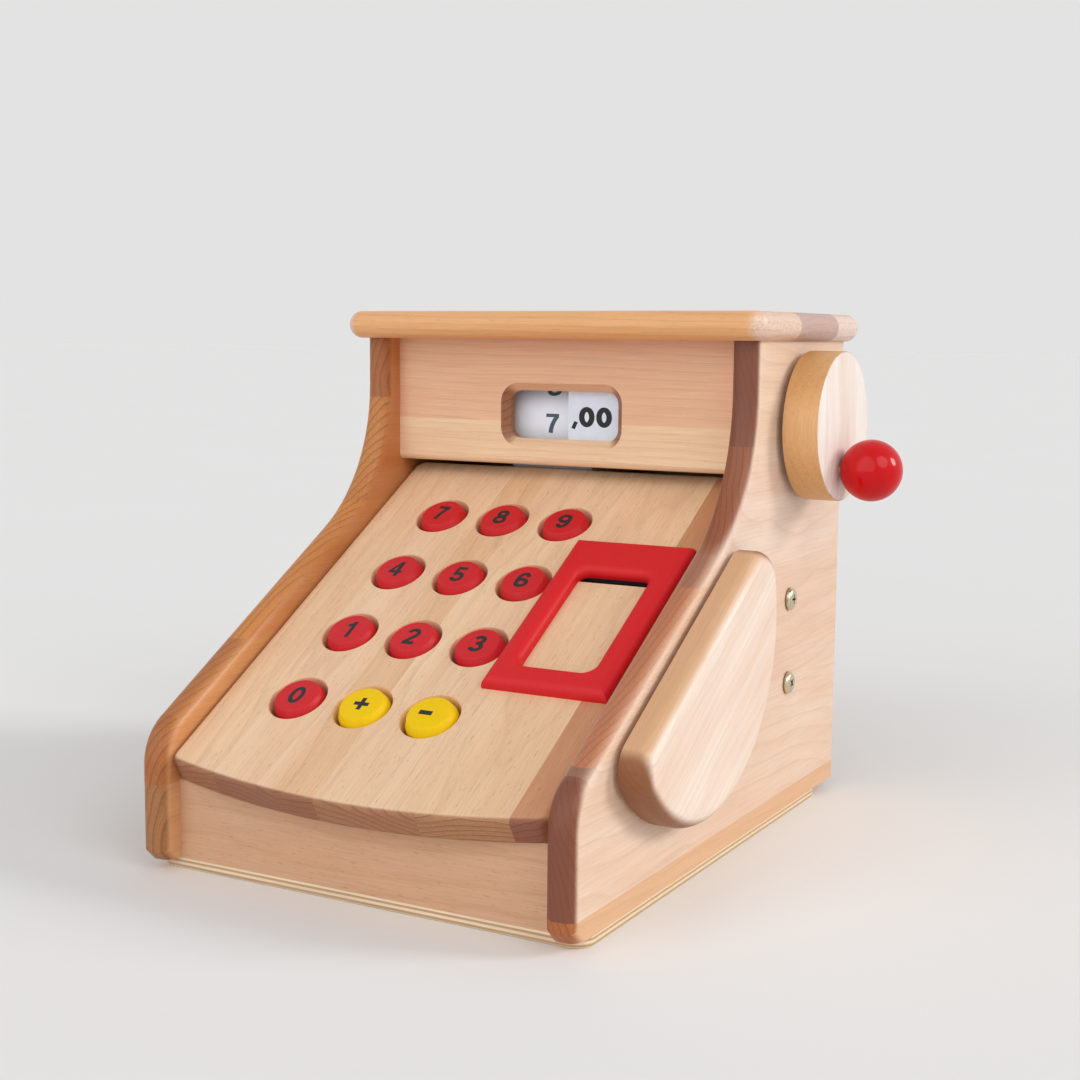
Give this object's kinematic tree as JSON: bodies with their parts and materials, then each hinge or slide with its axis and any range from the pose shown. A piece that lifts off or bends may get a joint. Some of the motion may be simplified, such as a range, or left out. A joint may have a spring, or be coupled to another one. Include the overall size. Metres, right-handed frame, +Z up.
{
  "type": "wooden toy till",
  "caption": "Wooden play till with a lifting keyboard lid over a divided money tray, sprung number keys, and a side crank that turns a number drum behind a window.",
  "frame": {"origin": "on the underside of the base plate, midway between the two side panels and 160.8 mm behind the front board's face", "axes": "+X to the crank side (right as seen from the front), -Y to the front edge of the keyboard, +Z up"},
  "size_m": [0.3231, 0.3618, 0.2926],
  "materials": {
    "natural_wood": "clear satin varnish",
    "plywood": "clear satin varnish, plies bare at the edges",
    "red_lacquer_satin": "satin lacquer on wood",
    "red_lacquer_gloss": "gloss lacquer on wood",
    "red_key_lacquer": "satin lacquer on wood, near-black numeral",
    "yellow_key_lacquer": "satin lacquer on wood, near-black sign",
    "number_card": "matt, dark numerals",
    "brass_screws": "plain, slightly dull",
    "sponge_rubber": "matt, open cells"
  },
  "bodies": {
    "cabinet": {"base_plate": "plywood", "side_left": "natural_wood", "side_right": "natural_wood", "top_board": "natural_wood", "front_board": "natural_wood", "display_panel": "natural_wood", "cents_plate": "number_card", "back_panel": "plywood", "inner_wall": "natural_wood", "tray_divider_long": "plywood", "tray_divider_cross": "plywood", "swipe_board": "natural_wood", "swipe_packer": "natural_wood", "side_screws_left": "brass_screws", "side_screws_right": "brass_screws", "lid_pins": "natural_wood", "crank_washer": "natural_wood"},
    "keyboard_lid": {"keyboard_lid": "natural_wood", "card_frame": "red_lacquer_satin", "key_batten_left": "natural_wood", "key_batten_right": "natural_wood", "key_backing": "plywood", "key_pad_7": "sponge_rubber", "key_pad_8": "sponge_rubber", "key_pad_9": "sponge_rubber", "key_pad_4": "sponge_rubber", "key_pad_5": "sponge_rubber", "key_pad_6": "sponge_rubber", "key_pad_1": "sponge_rubber", "key_pad_2": "sponge_rubber", "key_pad_3": "sponge_rubber", "key_pad_0": "sponge_rubber", "key_pad_plus": "sponge_rubber", "key_pad_minus": "sponge_rubber"},
    "crank": {"crank_disc": "natural_wood", "crank_peg": "natural_wood", "crank_knob": "red_lacquer_gloss", "crank_shaft": "natural_wood", "shaft_collar": "natural_wood", "number_drum": "natural_wood", "number_band": "number_card"},
    "key_7": {"key_7": "red_key_lacquer"},
    "key_8": {"key_8": "red_key_lacquer"},
    "key_9": {"key_9": "red_key_lacquer"},
    "key_4": {"key_4": "red_key_lacquer"},
    "key_5": {"key_5": "red_key_lacquer"},
    "key_6": {"key_6": "red_key_lacquer"},
    "key_1": {"key_1": "red_key_lacquer"},
    "key_2": {"key_2": "red_key_lacquer"},
    "key_3": {"key_3": "red_key_lacquer"},
    "key_0": {"key_0": "red_key_lacquer"},
    "key_plus": {"key_plus": "yellow_key_lacquer"},
    "key_minus": {"key_minus": "yellow_key_lacquer"}
  },
  "joints": [
    {"name": "lid_hinge", "type": "hinge", "parent": "cabinet", "child": "keyboard_lid", "pos_m": [0, 0.05688, 0.18714], "axis": [-1, 0, 0], "range_deg": [0, 45]},
    {"name": "crank_turn", "type": "hinge", "parent": "cabinet", "child": "crank", "pos_m": [0, 0.1019, 0.2288], "axis": [1, 0, 0], "continuous": true},
    {"name": "key_7_press", "type": "slide", "parent": "keyboard_lid", "child": "key_7", "axis": [0, 0.5113, -0.8594], "range_m": [0, 0.003], "stiffness_N_per_m": 300, "springref_m": -0.002, "deforming": ["key_pad_7"]},
    {"name": "key_8_press", "type": "slide", "parent": "keyboard_lid", "child": "key_8", "axis": [0, 0.5113, -0.8594], "range_m": [0, 0.003], "stiffness_N_per_m": 300, "springref_m": -0.002, "deforming": ["key_pad_8"]},
    {"name": "key_9_press", "type": "slide", "parent": "keyboard_lid", "child": "key_9", "axis": [0, 0.5113, -0.8594], "range_m": [0, 0.003], "stiffness_N_per_m": 300, "springref_m": -0.002, "deforming": ["key_pad_9"]},
    {"name": "key_4_press", "type": "slide", "parent": "keyboard_lid", "child": "key_4", "axis": [0, 0.5113, -0.8594], "range_m": [0, 0.003], "stiffness_N_per_m": 300, "springref_m": -0.002, "deforming": ["key_pad_4"]},
    {"name": "key_5_press", "type": "slide", "parent": "keyboard_lid", "child": "key_5", "axis": [0, 0.5113, -0.8594], "range_m": [0, 0.003], "stiffness_N_per_m": 300, "springref_m": -0.002, "deforming": ["key_pad_5"]},
    {"name": "key_6_press", "type": "slide", "parent": "keyboard_lid", "child": "key_6", "axis": [0, 0.5113, -0.8594], "range_m": [0, 0.003], "stiffness_N_per_m": 300, "springref_m": -0.002, "deforming": ["key_pad_6"]},
    {"name": "key_1_press", "type": "slide", "parent": "keyboard_lid", "child": "key_1", "axis": [0, 0.5113, -0.8594], "range_m": [0, 0.003], "stiffness_N_per_m": 300, "springref_m": -0.002, "deforming": ["key_pad_1"]},
    {"name": "key_2_press", "type": "slide", "parent": "keyboard_lid", "child": "key_2", "axis": [0, 0.5113, -0.8594], "range_m": [0, 0.003], "stiffness_N_per_m": 300, "springref_m": -0.002, "deforming": ["key_pad_2"]},
    {"name": "key_3_press", "type": "slide", "parent": "keyboard_lid", "child": "key_3", "axis": [0, 0.5113, -0.8594], "range_m": [0, 0.003], "stiffness_N_per_m": 300, "springref_m": -0.002, "deforming": ["key_pad_3"]},
    {"name": "key_0_press", "type": "slide", "parent": "keyboard_lid", "child": "key_0", "axis": [0, 0.5113, -0.8594], "range_m": [0, 0.003], "stiffness_N_per_m": 300, "springref_m": -0.002, "deforming": ["key_pad_0"]},
    {"name": "key_plus_press", "type": "slide", "parent": "keyboard_lid", "child": "key_plus", "axis": [0, 0.5113, -0.8594], "range_m": [0, 0.003], "stiffness_N_per_m": 300, "springref_m": -0.002, "deforming": ["key_pad_plus"]},
    {"name": "key_minus_press", "type": "slide", "parent": "keyboard_lid", "child": "key_minus", "axis": [0, 0.5113, -0.8594], "range_m": [0, 0.003], "stiffness_N_per_m": 300, "springref_m": -0.002, "deforming": ["key_pad_minus"]}
  ]
}
